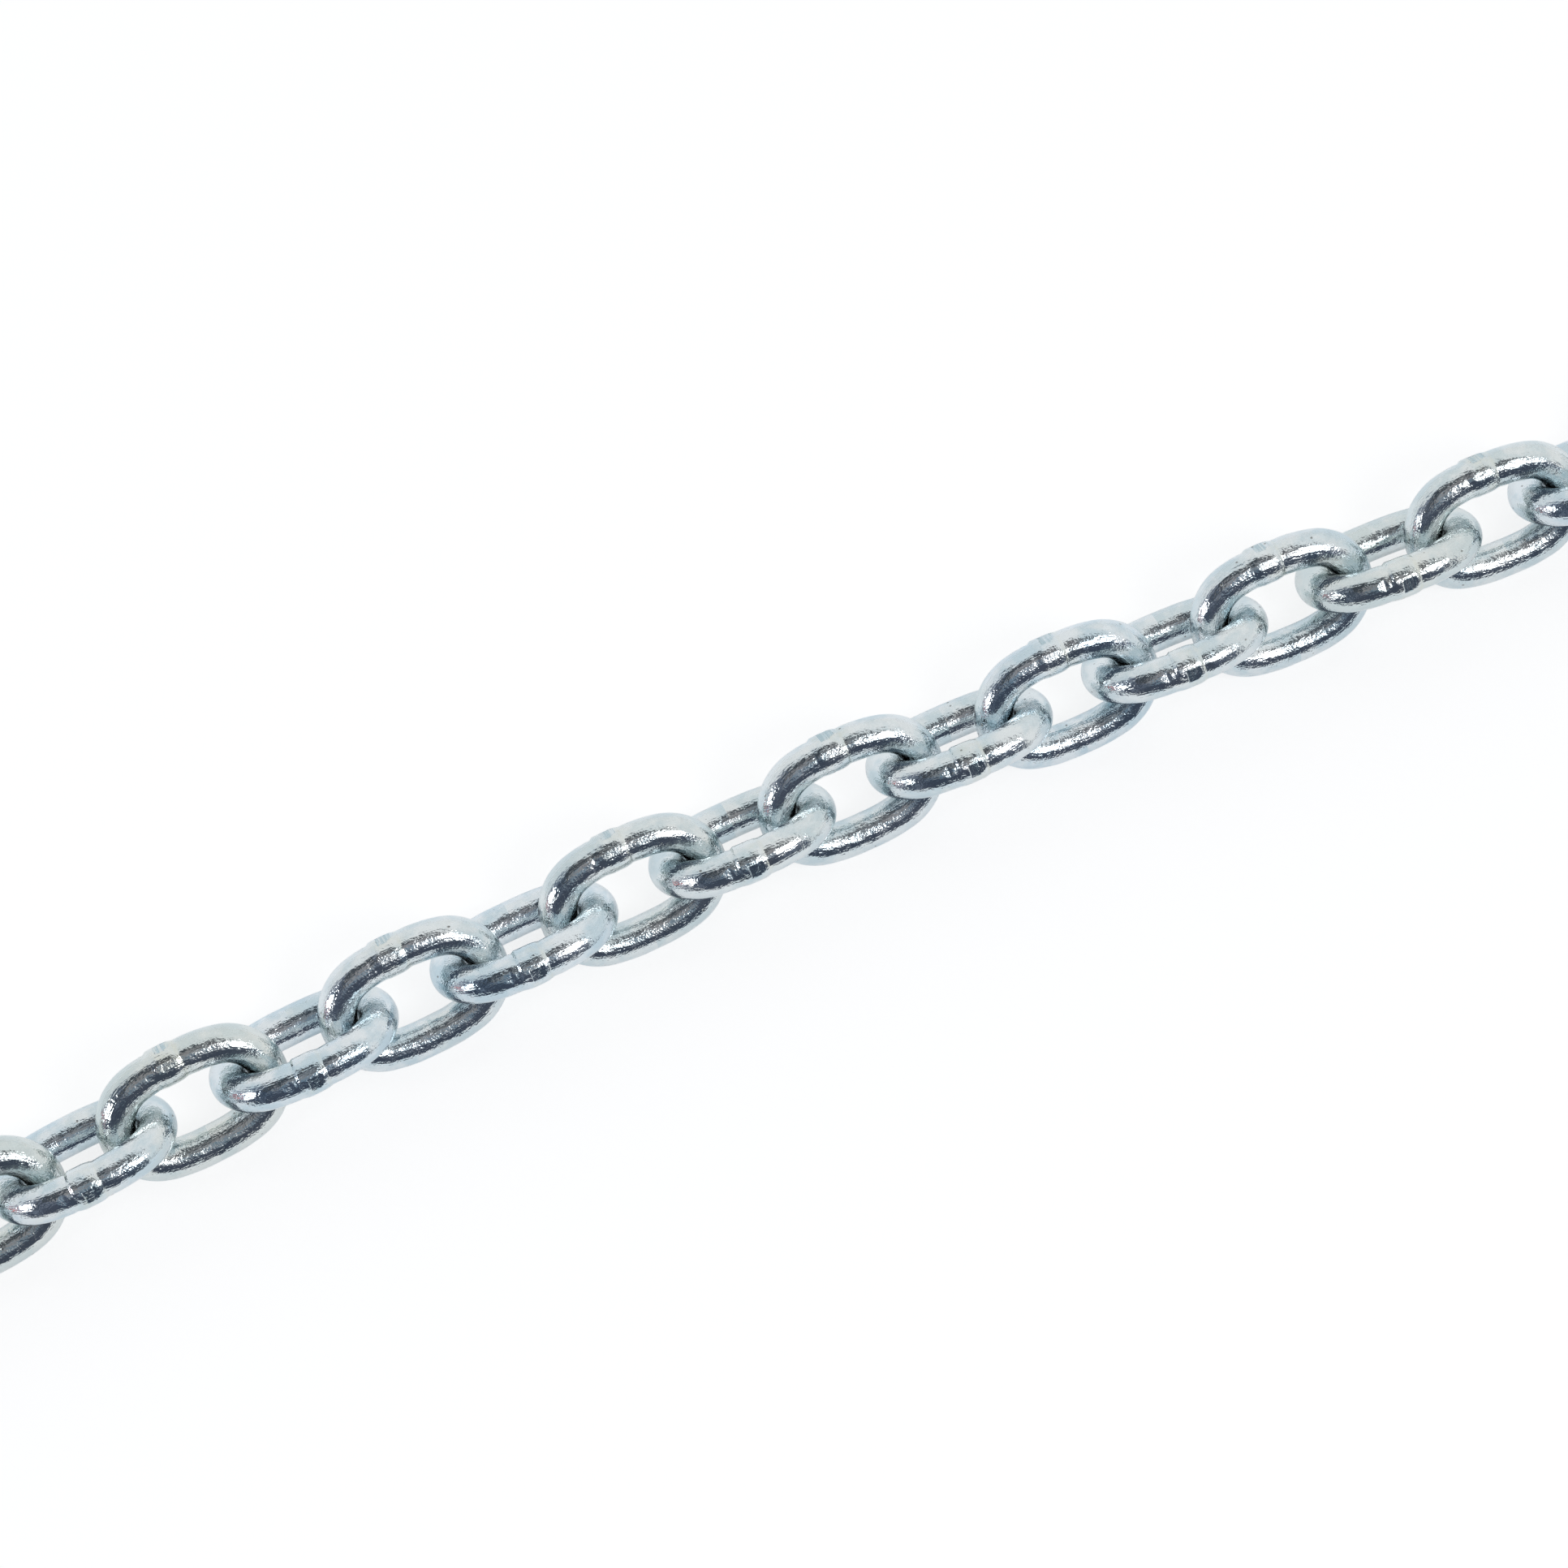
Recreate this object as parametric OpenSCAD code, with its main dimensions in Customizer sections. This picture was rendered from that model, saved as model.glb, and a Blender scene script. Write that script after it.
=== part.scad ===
// Length of short-link lifting chain, lying slack on a flat surface.
// Every link is a round wire bent into a long ring and butt-welded near the middle of one bar.
// A link is drawn lying in the XY plane: X along the chain, +Y towards its welded bar.
// The chain runs along +X, and Z = 0 is the surface that it lies on. All sizes are in millimetres.

/* [Link] */
// Diameter of the round wire
wire_d = 8; // [6:0.2:10]
// Inside length of a link, which is the pitch of the taut chain
pitch = 24.6; // [20.4:0.1:32]
// Inside width of a link
eye_w = 12.4; // [10.4:0.1:15]

/* [Weld] */
// Length of the raised band round the weld
weld_l = 4.8; // [4:0.1:6]
// Place of the weld's middle along its bar, from the middle of the link
weld_at = -0.9; // [-1:0.1:1]
// How far the band stands above the wire
weld_rise = 0.3; // [0.2:0.05:0.6]
// Radius of the band's edge and of the fillet at its foot
weld_round = 0.15; // [0.05:0.05:0.2]
// Length of the flat that is trimmed on the band's outer side
trim_l = 3.5; // [2:0.1:4]
// How far the flat stays above the wire
trim_rise = 0.05; // [0.02:0.01:0.15]

/* [Chain] */
// Number of links
link_count = 20; // [2:1:60]
// Slack between the crowns of two neighbouring links as the chain lies
crown_gap = 0.1; // [0.05:0.05:0.6]
// How far each link leans from upright, to one side and the other in turn
lean = 45; // [40:1:50]
// Most that a link strays from that lean
lean_play = 2; // [0:0.5:3]
// Radius of the slight curve in which the chain lies
lay_radius = 3600; // [1500:100:20000]

/* [Hidden] */
$fn = 64;
// Turn that scatters the stray leans from link to link
lean_step = 22;
wire_r = wire_d / 2;
half_l = (pitch + wire_d) / 2;
// Radius of the wire's centre line round a crown, and half the distance between the bars
crown_r = (eye_w + wire_d) / 2;
bar_l = 2 * (half_l - crown_r);
band_r = wire_r + weld_rise;
spacing = pitch - crown_gap;

function lean_of(i) = lean + lean_play * sin(lean_step * i);
// Direction of the curve at a link, which is 0 in the middle of the chain
function heading(i) = (i - (link_count - 1) / 2) * spacing / lay_radius * 180 / PI;
// The chain's axis is level, and the most upright link stands on the surface
axis_height = wire_r + crown_r * max([for (i = [0 : link_count - 1]) cos(lean_of(i))]);
// The curve is shifted so that the chain's box is centred on the origin
axis_shift = lay_radius * (1 - cos(heading(0))) / 2;

module crown() {
    translate([bar_l / 2, 0, 0])
        rotate_extrude(start = -90, angle = 180) translate([crown_r, 0]) circle(d = wire_d);
}

module bar() {
    rotate([0, 90, 0]) cylinder(d = wire_d, h = bar_l, center = true);
}

// Half of the band's outline from its middle, with a round edge and a filleted foot
module band_outline() {
    foot = weld_l / 2;
    edge = foot - weld_round;
    square([band_r - weld_round, edge]);
    square([band_r, edge - weld_round]);
    translate([band_r - weld_round, edge - weld_round]) circle(r = weld_round);
    difference() {
        square([wire_r + weld_round, foot]);
        translate([wire_r + weld_round, foot]) circle(r = weld_round);
    }
}

// Upset metal of the butt weld, trimmed flat on the outer side of the link
module weld_band() {
    difference() {
        rotate([0, 90, 0]) rotate_extrude() {
            band_outline();
            mirror([0, 1]) band_outline();
        }
        translate([-trim_l / 2, wire_r + trim_rise, -wire_r]) cube([trim_l, wire_d, wire_d]);
    }
}

module chain_link() {
    for (x = [0, 1]) mirror([x, 0, 0]) crown();
    for (y = [-1, 1]) translate([0, y * crown_r, 0]) bar();
    translate([weld_at, crown_r, 0]) weld_band();
}

// Puts a link in its place along the curve, leaning to the side that its turn in the chain gives
module lay(i) {
    side = i % 2 == 0 ? 1 : -1;
    along = lay_radius * sin(heading(i));
    across = axis_shift - lay_radius * (1 - cos(heading(i)));
    translate([along, across, axis_height])
        rotate([90 - side * lean_of(i), 0, -heading(i)])
        children();
}

for (i = [0 : link_count - 1])
    color([0.76, 0.79, 0.79]) lay(i) chain_link();
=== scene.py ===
# Looks of a length of short-link lifting chain in bright zinc plate.
import math

import bpy
import numpy as np
from mathutils import Matrix, Vector


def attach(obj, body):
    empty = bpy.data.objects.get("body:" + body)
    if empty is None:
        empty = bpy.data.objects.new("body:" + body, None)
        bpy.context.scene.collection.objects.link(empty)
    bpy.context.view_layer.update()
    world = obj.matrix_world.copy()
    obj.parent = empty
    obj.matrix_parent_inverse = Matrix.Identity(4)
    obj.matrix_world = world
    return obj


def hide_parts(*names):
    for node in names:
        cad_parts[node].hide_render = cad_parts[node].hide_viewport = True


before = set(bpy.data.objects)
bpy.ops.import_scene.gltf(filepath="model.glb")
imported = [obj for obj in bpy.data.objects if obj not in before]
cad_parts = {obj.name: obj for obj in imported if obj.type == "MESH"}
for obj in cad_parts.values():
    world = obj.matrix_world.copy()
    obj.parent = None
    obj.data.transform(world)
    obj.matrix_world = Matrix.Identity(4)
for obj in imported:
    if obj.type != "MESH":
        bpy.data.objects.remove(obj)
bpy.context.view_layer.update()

MM = 0.001
MICRON = 1e-6
ANY_SIDE = (0, 6.28)

# Link, as in the CAD, with the half length and half width of the wire's centre line
WIRE_R = 4.0 * MM
PITCH = 24.6 * MM
EYE_W = 12.4 * MM
HALF_L = PITCH / 2 + WIRE_R
HALF_W = EYE_W / 2 + WIRE_R
# The centre line has a short straight, a bowed shoulder and a tight crown in each quarter
STRAIGHT = 1.6 * MM
CROWN_R = 9.6 * MM
SHOULDER_X = HALF_L - CROWN_R - STRAIGHT
SHOULDER_R = (SHOULDER_X**2 + HALF_W**2 - CROWN_R**2) / (2 * (HALF_W - CROWN_R))
SHOULDER_TURN = math.atan2(SHOULDER_X, SHOULDER_R - HALF_W)
SHOULDER_END = STRAIGHT + SHOULDER_R * SHOULDER_TURN
QUARTER = SHOULDER_END + CROWN_R * (math.pi / 2 - SHOULDER_TURN)
LOOP = 4 * QUARTER

# Weld band on the upper bar. Its middle is counted from the bar's middle, and other places from its middle.
# Angles round the wire are in radians from its outward side
WELD_AT = -0.95 * MM
WELD_PLAY_IN_MM = 0.25
WELD_WOBBLE = 0.08 * MM
WELD_RISE = 0.3 * MM
WELD_RISE_FACTOR = (0.9, 1.0)
# The step up to it is steep on one side and gentle on the other, and on the steep side it lies farther out
# and has a dip before it
STEP_END = -2.15 * MM
STEP_STEEP = 0.65 * MM
STEP_GENTLE = 1.8 * MM
STEP_TURN = 0.5
STEP_LEAN = 0.75 * MM
LEAN_SIDE = 0.35
LEAN_RATE = 1.5
STEP_DIP = 0.12 * MM
STEP_FOOT = 1.3 * MM
# It falls off in a rounded shoulder to a shallow groove, which is deepest on one side
SHOULDER_START = 0.2 * MM
SHOULDER_FOOT = 2.5 * MM
GROOVE = 0.07 * MM
GROOVE_DEEP = 0.06 * MM
GROOVE_SIDE = 0.2
GROOVE_EDGE = 1.5
GROOVE_RATE = 2
GROOVE_END = 4.6 * MM
# It is trimmed flat on its outer side, in two facets with the tool's marks, and on one flank
TRIM_START = -1.65 * MM
TRIM_END = 1.4 * MM
TRIM_RISE = -0.01 * MM
TRIM_TILTS = (0.045, -0.03)
TILT_START = 0.1 * MM
TILT_LENGTH = 0.5 * MM
TOOL_MARK = 0.007 * MM
TOOL_NOISE = 0.1 * TOOL_MARK
TOOL_PITCH = 0.38 * MM
TOOL_BEND = 0.9 * MM
ROUGH_END = WELD_AT + 0.4 * MM
ROUGH_BLUR = 0.3 * MM
FLANK_SIDE = 1.19
FLANK_RISE = 0.14 * MM
LEAST_COSINE = 0.2

# Gripper mark, a flat cut that starts far from the weld, and the slopes of its two ends
MARK_START = -6.7 * MM
MARK_PLAY_IN_MM = 0.2
MARK_LENGTH = 2.7 * MM
MARK_SLOPES = (0.15, 0.25)
MARK_SIDE = -0.34
MARK_TURN = 0.05

# Waves of the wire's surface, each with a random length and one to three turns round the wire
WAVES = 4
WAVE_DEPTH = 0.05 * MM
WAVE_LENGTH = 7 * MM
WAVE_LENGTH_FACTOR = (0.6, 1.6)
WAVE_TURNS = (1, 4)
# Wrinkles beside the weld, nicks farther out and dents all round the link, with sizes and depths in mm
WRINKLES = dict(count=3, unit=MM, at=(-3.6, -2.2), side=(-0.1, 0.7), size=(0.4, 0.8), depth=(0.02, 0.06))
NICKS = dict(count=4, unit=MM, at=(-5.4, -3.2), side=(0.8, 1.5), size=(0.4, 0.9), depth=(0.05, 0.12))
DENTS = dict(count=9, unit=LOOP, at=(-0.5, 0.5), side=ANY_SIDE, size=(0.5, 1.3), depth=(0.02, 0.06))

# Mesh steps along the wire and round it
FINE_STEP = 0.1 * MM
FINE_HALF = 7.4 * MM
COARSE_STEP = 0.6 * MM
FLAT_SEGMENTS = 10
ROUND_SEGMENTS = 62

# Zinc plate: its noises, on coordinates in metres that run along the wire and across it
NOISES = {
    "stripes": dict(scale=2000, detail=3, roughness=0.7, stretch=(1, 0.04, 0.04)),
    "mottle": dict(scale=1500, detail=3, roughness=0.6),
    "patches": dict(scale=160, detail=6, roughness=0.6),
    "streaks": dict(scale=2600, stretch=(0.06, 1, 1)),
    "dents": dict(scale=700, detail=3, stretch=(0.6, 1, 1)),
    "grain": dict(scale=2400, detail=1),
    "link_film": dict(scale=0.9),
    "patch_film": dict(scale=95),
    "weld_film": dict(scale=300),
}
# Specks are round dots in about a fifth of the cells of a random pattern
SPECK_CELLS = 460
SPECK_CHOICE = (0.78, 0.82)
SPECK_RADII = (0.16, 0.06)
# Heights of the relief, in microns
HEIGHTS = dict(streaks=55.0, dents=190.0, grain=60.0, speck=-50.0, stripes=100.0, mottle=110.0)
# Yellowish film: the range of a noise or of the distance from a place, and the share of film at its ends
LINK_FILM = (0.43, 0.62, 0, 0.5)
PATCH_FILM = (0.56, 0.74, 0, 0.35)
WELD_FILM = (0.42, 0.70, 0, 0.35)
WELD_FILM_REACH = (6 * MM, 1 * MM)
GROOVE_FILM_AT = WELD_AT + SHOULDER_FOOT - 0.2 * MM
GROOVE_FILM = (0.6 * MM, 0.1 * MM, 0, 0.2)
# Roughness: the range of a noise and the roughness at its ends, or what a speck or a cut face adds
PATCH_ROUGHNESS = (0.3, 0.7, 0.06, 0.13)
STREAK_ROUGHNESS = (0.5, 0.8, 0, 0.08)
SPECK_ROUGHNESS = 0.3
FLAT_ROUGHNESS = 0.07
FLANK_ROUGHNESS = 0.08
# Colours, with the range of the noise that mixes the first two and that of the stripes
PATCHES = (0.38, 0.62)
STRIPED = (0.42, 0.58, 0.1, 0.8)
SPECK_DARK = 0.75
ZINC_BLUE = (0.58, 0.69, 0.745)
ZINC_PALE = (0.79, 0.83, 0.85)
FILM_COLOUR = (0.73, 0.735, 0.66)
STRIPE_COLOUR = (0.42, 0.54, 0.58)
SPECK_COLOUR = (0.16, 0.15, 0.13)

# Camera, with angles in degrees and places in metres
IMAGE_SIDE = 1932
CAMERA_AZIMUTH = -25.61
CAMERA_ELEVATION = 71.60
CAMERA_ROLL = 0.062
CAMERA_TARGET = (0.00054, 0.01087, 0.0112)
CAMERA_DISTANCE = 0.9857
CAMERA_CLIP = (0.01, 100)
PIXELS_PER_METRE = 6040.5
SENSOR = 36.0

# Light: directions are an azimuth from +Y towards +X and an angle from the zenith, in degrees
SOFTBOX_DISTANCE = 3.0
SOFTBOXES = {
    "softbox_left": dict(azimuth=-93, zenith=60, width=11, height=10, radiance=4.0),
    "softbox_right": dict(azimuth=143, zenith=40, width=11, height=14, radiance=3.7),
}
ROOM_DARK = (0.045, 0.06, 0.09)
ROOM_GREY = (0.22, 0.255, 0.325)
ROOM_NOISE = dict(scale=4.5, detail=3, roughness=0.6)
ROOM_SHADES = (0.46, 0.60)
WALL_DULL = 0.8
WALL_NOISE = dict(scale=9, detail=6, roughness=0.7)
WALL_SHADES = (0.42, 0.58)
# What the metal sees, as round patches with soft edges, each over the ones before it: a lilac wall with a
# warm spot on the left, the dark ceiling, the dark near side below, a grey patch overhead, the glow round
# the right softbox, the bluish patch that the trimmed flats show, and pale walls on the far and right sides
WALLS = {
    "left": dict(azimuth=-84, zenith=84, radius=24, blur=6, colour=(0.34, 0.35, 0.42)),
    "warm": dict(azimuth=-86, zenith=85, radius=8, blur=3, colour=(0.85, 0.34, 0.33)),
    "ceiling": dict(azimuth=-166, zenith=4, radius=31, blur=5, colour=(0.07, 0.08, 0.095)),
    "low": dict(azimuth=-167, zenith=70, radius=28, blur=6, colour=(0.07, 0.085, 0.12)),
    "above": dict(azimuth=180, zenith=19, radius=19, blur=6, colour=(0.32, 0.315, 0.33)),
    "halo": dict(azimuth=157, zenith=37, radius=12, blur=8, colour=(0.55, 0.57, 0.62)),
    "flats": dict(azimuth=-172, zenith=33, radius=9, blur=4, colour=(0.22, 0.30, 0.38)),
    "far": dict(azimuth=14, zenith=112, radius=90, blur=5, colour=(0.86, 0.90, 0.93)),
    "right": dict(azimuth=55, zenith=109, radius=90, blur=6, colour=(0.95, 0.97, 0.98)),
}
BACKDROP = (0.85, 0.86, 0.86)

# Floor as the metal sees it, with a dark end on the near side, and as the camera sees it
FLOOR_SIDE = 30.0
FLOOR_COLOUR = (0.78, 0.80, 0.81)
FLOOR_FILL = (0.36, 0.37, 0.38)
FLOOR_DARK = (0.05, 0.06, 0.08)
FLOOR_NEAR_EDGE = -0.19
FLOOR_EDGE_BLUR = 0.04
FLOOR_SHADE = (0.34, 0.34, 0.34)
FLOOR_GLOW = 0.78


def aim(azimuth, zenith):
    """Unit vector at an azimuth from +Y towards +X and an angle from the zenith."""
    a, z = math.radians(azimuth), math.radians(zenith)
    return Vector((math.sin(z) * math.sin(a), math.sin(z) * math.cos(a), math.cos(z)))


def add_camera():
    a, e = math.radians(CAMERA_AZIMUTH), math.radians(CAMERA_ELEVATION)
    back = Vector((math.sin(a) * math.cos(e), -math.cos(a) * math.cos(e), math.sin(e)))
    right = (-back).cross(Vector((0, 0, 1))).normalized()
    up = back.cross(right)
    data = bpy.data.cameras.new("camera")
    data.sensor_width = SENSOR
    data.lens = PIXELS_PER_METRE * CAMERA_DISTANCE / IMAGE_SIDE * SENSOR
    data.clip_start, data.clip_end = CAMERA_CLIP
    camera = bpy.data.objects.new("camera", data)
    bpy.context.scene.collection.objects.link(camera)
    turn = Matrix((right, up, back)).transposed() @ Matrix.Rotation(math.radians(CAMERA_ROLL), 3, "Z")
    place = Vector(CAMERA_TARGET) + back * CAMERA_DISTANCE
    camera.matrix_world = Matrix.Translation(place) @ turn.to_4x4()
    bpy.context.scene.camera = camera


class Nodes:
    """A node tree with short ways to add nodes and link them."""

    def __init__(self, owner):
        owner.use_nodes = True
        self.tree = owner.node_tree
        self.tree.nodes.clear()

    def add(self, kind, settings=None, **inputs):
        node = self.tree.nodes.new("ShaderNode" + kind)
        for name, value in (settings or {}).items():
            setattr(node, name, value)
        for name, value in inputs.items():
            self.put(node, name.replace("_", " "), value)
        return node

    def put(self, node, name, value):
        """Links or sets an input, given by its name or as i and its number."""
        socket = node.inputs[int(name[1:])] if name[0] == "i" and name[1:].isdigit() else node.inputs[name]
        if isinstance(value, bpy.types.NodeSocket):
            self.tree.links.new(value, socket)
        else:
            socket.default_value = value

    def math(self, operation, a, b=0.0, c=0.0):
        return self.add("Math", dict(operation=operation), i0=a, i1=b, i2=c).outputs[0]

    def distance(self, value, place):
        return self.math("ABSOLUTE", self.math("SUBTRACT", value, place))

    def mix(self, factor, a, b):
        a, b = [(*end, 1) if isinstance(end, (tuple, list)) else end for end in (a, b)]
        return self.add("Mix", dict(data_type="RGBA"), i0=factor, i6=a, i7=b).outputs[2]

    def ramp(self, value, low, high, to_low=0.0, to_high=1.0):
        settings = dict(interpolation_type="SMOOTHSTEP")
        return self.add("MapRange", settings, i0=value, i1=low, i2=high, i3=to_low, i4=to_high).outputs[0]

    def noise(self, vector, scale, detail=2.0, roughness=0.5, stretch=None):
        if stretch:
            vector = self.add("Mapping", Vector=vector, Scale=stretch).outputs[0]
        node = self.add("TexNoise", Vector=vector, Scale=scale, Detail=detail, Roughness=roughness)
        return node.outputs[0]


def room():
    """The surroundings that the metal reflects, and a plain backdrop for the camera."""
    world = bpy.data.worlds.new("room")
    bpy.context.scene.world = world
    n = Nodes(world)
    direction = n.add("TexCoord").outputs["Generated"]
    shade = n.ramp(n.noise(direction, **ROOM_NOISE), *ROOM_SHADES)
    colour = n.mix(shade, ROOM_DARK, ROOM_GREY)
    clouds = n.ramp(n.noise(direction, **WALL_NOISE), *WALL_SHADES)
    for wall in WALLS.values():
        towards = aim(wall["azimuth"], wall["zenith"])
        dot = n.add("VectorMath", dict(operation="DOT_PRODUCT"), i0=direction, i1=towards).outputs["Value"]
        edge, blur = math.radians(wall["radius"]), math.radians(wall["blur"])
        mask = n.ramp(dot, math.cos(edge + blur), math.cos(edge - blur))
        dull = [c * WALL_DULL for c in wall["colour"]]
        colour = n.mix(mask, colour, n.mix(clouds, dull, wall["colour"]))
    seen = n.add("LightPath").outputs["Is Camera Ray"]
    background = n.add("Background", Color=n.mix(seen, colour, BACKDROP))
    n.add("OutputWorld", Surface=background.outputs[0])


def add_softboxes():
    for name, box in SOFTBOXES.items():
        towards = aim(box["azimuth"], box["zenith"])
        data = bpy.data.lights.new(name, "AREA")
        data.shape = "ELLIPSE"
        data.size = 2 * SOFTBOX_DISTANCE * math.tan(math.radians(box["width"]))
        data.size_y = 2 * SOFTBOX_DISTANCE * math.tan(math.radians(box["height"]))
        data.energy = box["radiance"] * math.pi * math.pi * data.size * data.size_y / 4
        light = bpy.data.objects.new(name, data)
        light.location = towards * SOFTBOX_DISTANCE
        light.rotation_euler = towards.to_track_quat("Z", "Y").to_euler()
        light.visible_camera = False
        bpy.context.scene.collection.objects.link(light)


def floor_material():
    """A pale floor, which the camera sees with softer shadows and without the dark near end."""
    material = bpy.data.materials.new("floor")
    n = Nodes(material)
    lit = n.add("BsdfDiffuse", Color=(*FLOOR_COLOUR, 1))
    fill = n.add("Emission", Color=(*FLOOR_FILL, 1))
    lit = n.add("AddShader", i0=lit.outputs[0], i1=fill.outputs[0])
    y = n.add("SeparateXYZ", Vector=n.add("TexCoord").outputs["Object"]).outputs["Y"]
    pale = n.ramp(y, FLOOR_NEAR_EDGE - FLOOR_EDGE_BLUR, FLOOR_NEAR_EDGE + FLOOR_EDGE_BLUR)
    dark = n.add("Emission", Color=(*FLOOR_DARK, 1))
    lit = n.add("MixShader", i0=pale, i1=dark.outputs[0], i2=lit.outputs[0])
    shade = n.add("BsdfDiffuse", Color=(*FLOOR_SHADE, 1))
    glow = n.add("Emission", Strength=FLOOR_GLOW)
    soft = n.add("AddShader", i0=shade.outputs[0], i1=glow.outputs[0])
    seen = n.add("LightPath").outputs["Is Camera Ray"]
    floor_shader = n.add("MixShader", i0=seen, i1=lit.outputs[0], i2=soft.outputs[0])
    n.add("OutputMaterial", Surface=floor_shader.outputs[0])
    return material


def add_floor():
    s = FLOOR_SIDE / 2
    mesh = bpy.data.meshes.new("floor")
    mesh.from_pydata([(-s, -s, 0), (s, -s, 0), (s, s, 0), (-s, s, 0)], [], [(0, 1, 2, 3)])
    floor = bpy.data.objects.new("floor", mesh)
    bpy.context.scene.collection.objects.link(floor)
    mesh.materials.append(floor_material())


def speck_mask(n, wire):
    """Where the plate has specks."""
    cells = n.add("TexVoronoi", dict(feature="F1"), Vector=wire, Scale=SPECK_CELLS)
    red = n.add("SeparateColor", Color=cells.outputs["Color"]).outputs[0]
    dots = n.ramp(cells.outputs["Distance"], *SPECK_RADII)
    return n.math("MULTIPLY", dots, n.ramp(red, *SPECK_CHOICE))


def relief(n, looks):
    """Normal of the plate's fine relief."""
    height = 0.0
    for name, microns in HEIGHTS.items():
        height = n.math("MULTIPLY_ADD", looks[name], microns, height)
    return n.add("Bump", Strength=1.0, Distance=MICRON, Height=height).outputs[0]


def film_share(n, along, looks):
    """Share of the film: by the link, in patches, and more of it round the weld and in its groove."""
    film = n.ramp(looks["link_film"], *LINK_FILM)
    film = n.math("MAXIMUM", film, n.ramp(looks["patch_film"], *PATCH_FILM))
    weld = n.ramp(n.distance(along, WELD_AT), *WELD_FILM_REACH)
    film = n.math("MULTIPLY_ADD", weld, n.ramp(looks["weld_film"], *WELD_FILM), film)
    return n.math("ADD", film, n.ramp(n.distance(along, GROOVE_FILM_AT), *GROOVE_FILM))


def plate_colour(n, flat, film, stripes, looks):
    colour = n.mix(n.ramp(looks["patches"], *PATCHES), ZINC_BLUE, ZINC_PALE)
    colour = n.mix(film, colour, FILM_COLOUR)
    colour = n.mix(n.math("MULTIPLY", flat, n.ramp(stripes, *STRIPED)), colour, STRIPE_COLOUR)
    return n.mix(n.math("MULTIPLY", looks["speck"], SPECK_DARK), colour, SPECK_COLOUR)


def plate_roughness(n, rough, flank, looks):
    roughness = n.ramp(looks["patches"], *PATCH_ROUGHNESS)
    roughness = n.math("ADD", roughness, n.ramp(looks["streaks"], *STREAK_ROUGHNESS))
    roughness = n.math("ADD", roughness, n.math("MULTIPLY", looks["speck"], SPECK_ROUGHNESS))
    roughness = n.math("MULTIPLY_ADD", rough, FLAT_ROUGHNESS, roughness)
    return n.math("MULTIPLY_ADD", flank, FLANK_ROUGHNESS, roughness)


def zinc():
    """Bright zinc plate on drawn wire, with faint streaks, shallow dents, specks and yellowish patches."""
    material = bpy.data.materials.new("zinc_plate")
    n = Nodes(material)
    wire = n.add("Attribute", dict(attribute_name="wire")).outputs["Vector"]
    # The links' coordinates along the wire are whole metres apart
    along = n.add("SeparateXYZ", Vector=wire).outputs["X"]
    along = n.math("SUBTRACT", n.math("FRACT", n.math("ADD", along, 0.5)), 0.5)
    # Trimmed faces of the weld: the outer one is striped and partly rough, and the flank is mottled
    faces = n.add("Attribute", dict(attribute_name="faces")).outputs["Vector"]
    flat, flank, _ = n.add("SeparateXYZ", Vector=faces).outputs
    rough = n.math("MULTIPLY", flat, n.ramp(along, ROUGH_END, ROUGH_END - ROUGH_BLUR))
    looks = {name: n.noise(wire, **values) for name, values in NOISES.items()}
    looks["speck"] = speck_mask(n, wire)
    stripes = looks["stripes"]
    looks["stripes"] = n.math("MULTIPLY", flat, stripes)
    looks["mottle"] = n.math("MULTIPLY", flank, looks["mottle"])
    colour = plate_colour(n, flat, film_share(n, along, looks), stripes, looks)
    roughness = plate_roughness(n, rough, flank, looks)
    normal = relief(n, looks)
    shader = n.add("BsdfPrincipled", Base_Color=colour, Metallic=1.0, Roughness=roughness, Normal=normal)
    n.add("OutputMaterial", Surface=shader.outputs[0])
    return material


def stations():
    """Places along the wire, -LOOP / 2 to LOOP / 2 from the bar's middle, close together near the weld."""
    fine = np.arange(0, FINE_HALF, FINE_STEP)
    count = round((LOOP / 2 - FINE_HALF) / COARSE_STEP)
    half = np.r_[fine, np.linspace(FINE_HALF, LOOP / 2, count)]
    return np.r_[-half[:0:-1], half[:-1]]


def section_angles():
    """Angles round the wire from its outward side, with two of them on the edges of the trimmed flat."""
    edge = math.acos((WIRE_R + TRIM_RISE) / (WIRE_R + WELD_RISE))
    flat = np.linspace(-edge, edge, FLAT_SEGMENTS + 1)
    rest = np.linspace(edge, 2 * math.pi - edge, ROUND_SEGMENTS + 1)
    return np.r_[flat, rest[1:-1]]


def centre_line(s):
    """Centre of the wire and its outward direction in the link's plane, at places s along it."""
    far = np.abs(s) > QUARTER
    a = np.where(far, LOOP / 2 - np.abs(s), np.abs(s))
    shoulder = np.clip((a - STRAIGHT) / SHOULDER_R, 0, SHOULDER_TURN)
    crown = np.maximum(a - SHOULDER_END, 0) / CROWN_R
    turn = shoulder + crown
    x = np.minimum(a, STRAIGHT) + SHOULDER_R * np.sin(shoulder)
    y = HALF_W - SHOULDER_R * (1 - np.cos(shoulder))
    x += CROWN_R * (np.sin(turn) - np.sin(shoulder))
    y += CROWN_R * (np.cos(turn) - np.cos(shoulder))
    sides = np.stack([np.sign(s), np.where(far, -1, 1)], -1)
    return np.stack([x, y], -1) * sides, np.stack([np.sin(turn), np.cos(turn)], -1) * sides


def smooth(x):
    x = np.clip(x, 0, 1)
    return x * x * (3 - 2 * x)


def phi_near(phi):
    """Angle from the outward side, between -pi and pi."""
    return (phi + math.pi) % (2 * math.pi) - math.pi


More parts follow.
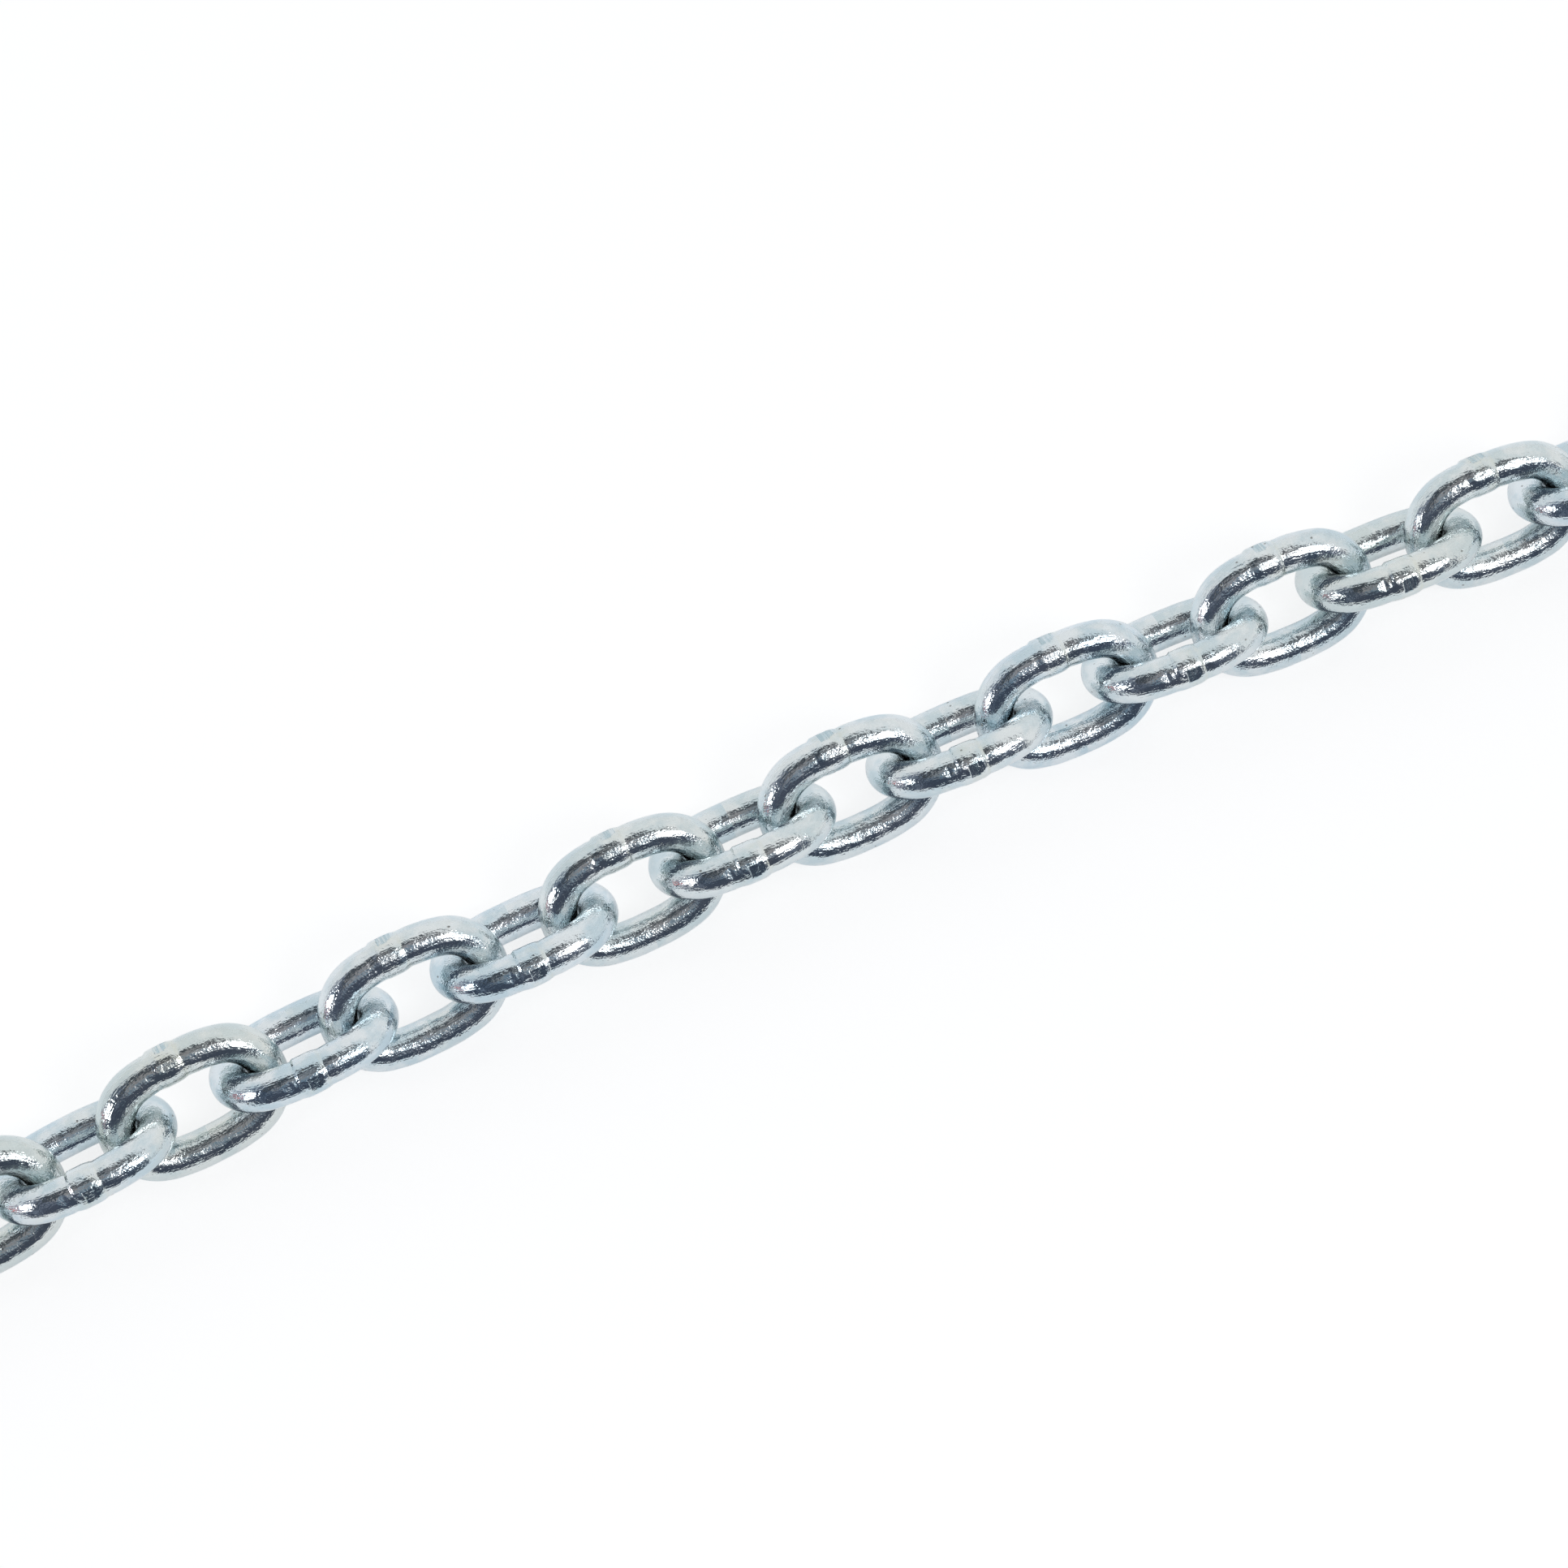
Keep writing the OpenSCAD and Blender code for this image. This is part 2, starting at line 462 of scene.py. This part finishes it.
def weld_rise(s, phi):
    """How far the weld's surface stands out, at places s from its middle."""
    side = phi_near(phi)
    gentle = smooth(side + STEP_TURN)
    width = STEP_STEEP + (STEP_GENTLE - STEP_STEEP) * gentle
    end = STEP_END - STEP_LEAN * smooth(LEAN_SIDE - LEAN_RATE * side)
    dip = STEP_DIP * (1 - gentle)
    step = (WELD_RISE + dip) * np.clip((s - end + width) / width, 0, 1)
    step = step - dip * smooth(1 + (s - end + width) / STEP_FOOT)
    fall = np.clip((s - SHOULDER_START) / (SHOULDER_FOOT - SHOULDER_START), 0, 1) ** 2
    depth = GROOVE + GROOVE_DEEP * smooth(GROOVE_EDGE - GROOVE_RATE * np.abs(side - GROOVE_SIDE))
    shoulder = WELD_RISE - (WELD_RISE + depth) * fall
    groove = -depth * (1 - smooth((s - SHOULDER_FOOT) / (GROOVE_END - SHOULDER_FOOT)))
    return np.where(s < 0, step, np.where(s < SHOULDER_FOOT, shoulder, groove))


def plane_radius(distance, cosine):
    """Radius of a flat cut at a distance from the wire's centre."""
    return distance / np.maximum(cosine, LEAST_COSINE)


def trimmed(r, s, phi, rng):
    """Cuts the weld's outer side and one flank flat, and tells where."""
    marks = TOOL_MARK * np.sin(2 * math.pi * (s + TOOL_BEND * phi_near(phi) ** 2) / TOOL_PITCH)
    marks = marks + TOOL_NOISE * rng.normal(size=s.shape)
    tilt = TRIM_TILTS[0] + (TRIM_TILTS[1] - TRIM_TILTS[0]) * smooth((s - TILT_START) / TILT_LENGTH)
    outer = plane_radius(WIRE_R + TRIM_RISE + marks, np.cos(phi) + tilt * np.sin(phi))
    outer = np.where((s > TRIM_START) & (s < TRIM_END), outer, np.inf)
    flank = plane_radius(WIRE_R + FLANK_RISE, np.cos(phi - FLANK_SIDE))
    faces = outer < np.minimum(r, flank), flank < np.minimum(r, outer)
    return np.minimum(r, np.minimum(outer, flank)), np.stack([*faces, np.zeros(r.shape)], -1)


def waves(s, phi, rng):
    """Shallow waves of the wire's surface, never above it."""
    total = 0
    for _ in range(WAVES):
        turns = rng.integers(*WAVE_TURNS)
        run = 2 * math.pi / WAVE_LENGTH * rng.uniform(*WAVE_LENGTH_FACTOR)
        total = total + np.sin(run * s + turns * phi + rng.uniform(*ANY_SIDE)) / WAVES
    return WAVE_DEPTH * (total - 1) / 2


def dent(s, phi, at, side, size, depth):
    """A round dent at one place along the wire and one side of it."""
    across = WIRE_R * np.abs((phi - side + math.pi) % (2 * math.pi) - math.pi)
    return -depth * smooth(1 - np.hypot(s - at, across) / size)


def dented(r, s, phi, rng, kind):
    """Adds dents of one kind to the wire, at random within its limits."""
    for _ in range(kind["count"]):
        at, side = rng.uniform(*kind["at"]) * kind["unit"], rng.uniform(*kind["side"])
        size, depth = rng.uniform(*kind["size"]) * MM, rng.uniform(*kind["depth"]) * MM
        r = r + dent(s, phi, at, side, size, depth)
    return r


def gripper_mark(r, s, phi, rng):
    """Cuts the wire flat along two planes, a long one that slopes down towards the weld and a short one."""
    start = MARK_START + rng.uniform(-MARK_PLAY_IN_MM, MARK_PLAY_IN_MM) * MM
    depth = np.minimum(MARK_SLOPES[0] * (s - start), MARK_SLOPES[1] * (start + MARK_LENGTH - s))
    side = MARK_SIDE + rng.uniform(-MARK_TURN, MARK_TURN)
    plane = plane_radius(WIRE_R - depth, np.cos(phi - side))
    return np.where(depth > 0, np.minimum(r, plane), r)


def wire_radius(s, phi, rng):
    """The wire's radius, with s down the rows and phi along them, and its cut faces."""
    wobble = WELD_WOBBLE * np.sin(2 * phi + rng.uniform(*ANY_SIDE))
    shift = wobble + rng.uniform(-WELD_PLAY_IN_MM, WELD_PLAY_IN_MM) * MM
    w = s - WELD_AT - shift
    r = WIRE_R + weld_rise(w, phi) * rng.uniform(*WELD_RISE_FACTOR)
    r = r + waves(s, phi, rng)
    r = gripper_mark(r, w, phi, rng)
    r = dented(r, w, phi, rng, WRINKLES)
    r = dented(r, w, phi, rng, NICKS)
    r = dented(r, s, phi, rng, DENTS)
    return trimmed(r, w, phi, rng)


def link_axes(node):
    """Turn and middle of a CAD link: its long axis, its welded bar's direction and its plane's normal."""
    mesh = node.data
    count = len(mesh.polygons)
    centres, areas = np.zeros(count * 3), np.zeros(count)
    mesh.polygons.foreach_get("center", centres)
    mesh.polygons.foreach_get("area", areas)
    centres = centres.reshape(-1, 3)
    # The second time without the bars' middle parts, because the weld there isn't central
    for _ in range(2):
        apart = centres - (centres * areas[:, None]).sum(0) / areas.sum()
        _, axes = np.linalg.eigh((apart * areas[:, None]).T @ apart)
        areas = areas * (np.abs(apart @ axes[:, 2]) > PITCH / 4)
    along, bar = axes[:, 2], axes[:, 1]
    along = along * np.sign(along[0])
    bar = bar * np.sign(bar[2])
    turn = np.stack([along, bar, np.cross(along, bar)], -1)
    corners = np.array([v.co for v in mesh.vertices]) @ turn
    middle = (corners.max(0) + corners.min(0)) / 2
    middle[1] = corners[:, 1].min() + HALF_W + WIRE_R
    return turn, turn @ middle


def grid_faces(rows, columns):
    r, c = np.meshgrid(np.arange(rows), np.arange(columns), indexing="ij")
    r2, c2 = (r + 1) % rows, (c + 1) % columns
    faces = np.stack([r * columns + c, r * columns + c2, r2 * columns + c2, r2 * columns + c], -1)
    return faces.reshape(-1, 4)


def mark_wire(mesh, s, phi, r, faces, number):
    """For the plate's pattern, coordinates that run along the wire and across it, and the cut faces."""
    rows, columns = len(s), len(phi)
    row, column = np.divmod(grid_faces(rows, columns), columns)
    along = s[row]
    along = np.where(along < s[row[:, :1]] - LOOP / 2, along + LOOP, along)
    radius = r[row, column]
    angle = phi[column]
    wire = np.stack([along + number, radius * np.cos(angle), radius * np.sin(angle)], -1)
    layer = mesh.attributes.new("wire", "FLOAT_VECTOR", "CORNER")
    layer.data.foreach_set("vector", wire.astype(np.float32).ravel())
    layer = mesh.attributes.new("faces", "FLOAT_VECTOR", "POINT")
    layer.data.foreach_set("vector", faces.astype(np.float32).ravel())


def make_link(name, number, material):
    """One link's plated wire, in the place of its CAD node."""
    rng = np.random.default_rng(number)
    s, phi = stations(), section_angles()
    centre, out = centre_line(s)
    r, faces = wire_radius(s[:, None], phi[None, :], rng)
    radial = r * np.cos(phi)
    points = np.empty((*r.shape, 3))
    points[..., :2] = centre[:, None, :] + out[:, None, :] * radial[..., None]
    points[..., 2] = r * np.sin(phi)
    turn, middle = link_axes(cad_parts[name])
    points = points.reshape(-1, 3) @ turn.T + middle
    mesh = bpy.data.meshes.new(name + "_plated")
    mesh.from_pydata(points.tolist(), [], grid_faces(len(s), len(phi)).tolist())
    mark_wire(mesh, s, phi, r, faces, number)
    mesh.materials.append(material)
    mesh.shade_smooth()
    link = bpy.data.objects.new(name + "_plated", mesh)
    bpy.context.scene.collection.objects.link(link)
    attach(link, name)
    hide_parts(name)


add_camera()
room()
add_softboxes()
add_floor()
bpy.context.scene.view_settings.view_transform = "Standard"
plate = zinc()
for number, name in enumerate(sorted(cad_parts)):
    make_link(name, number, plate)
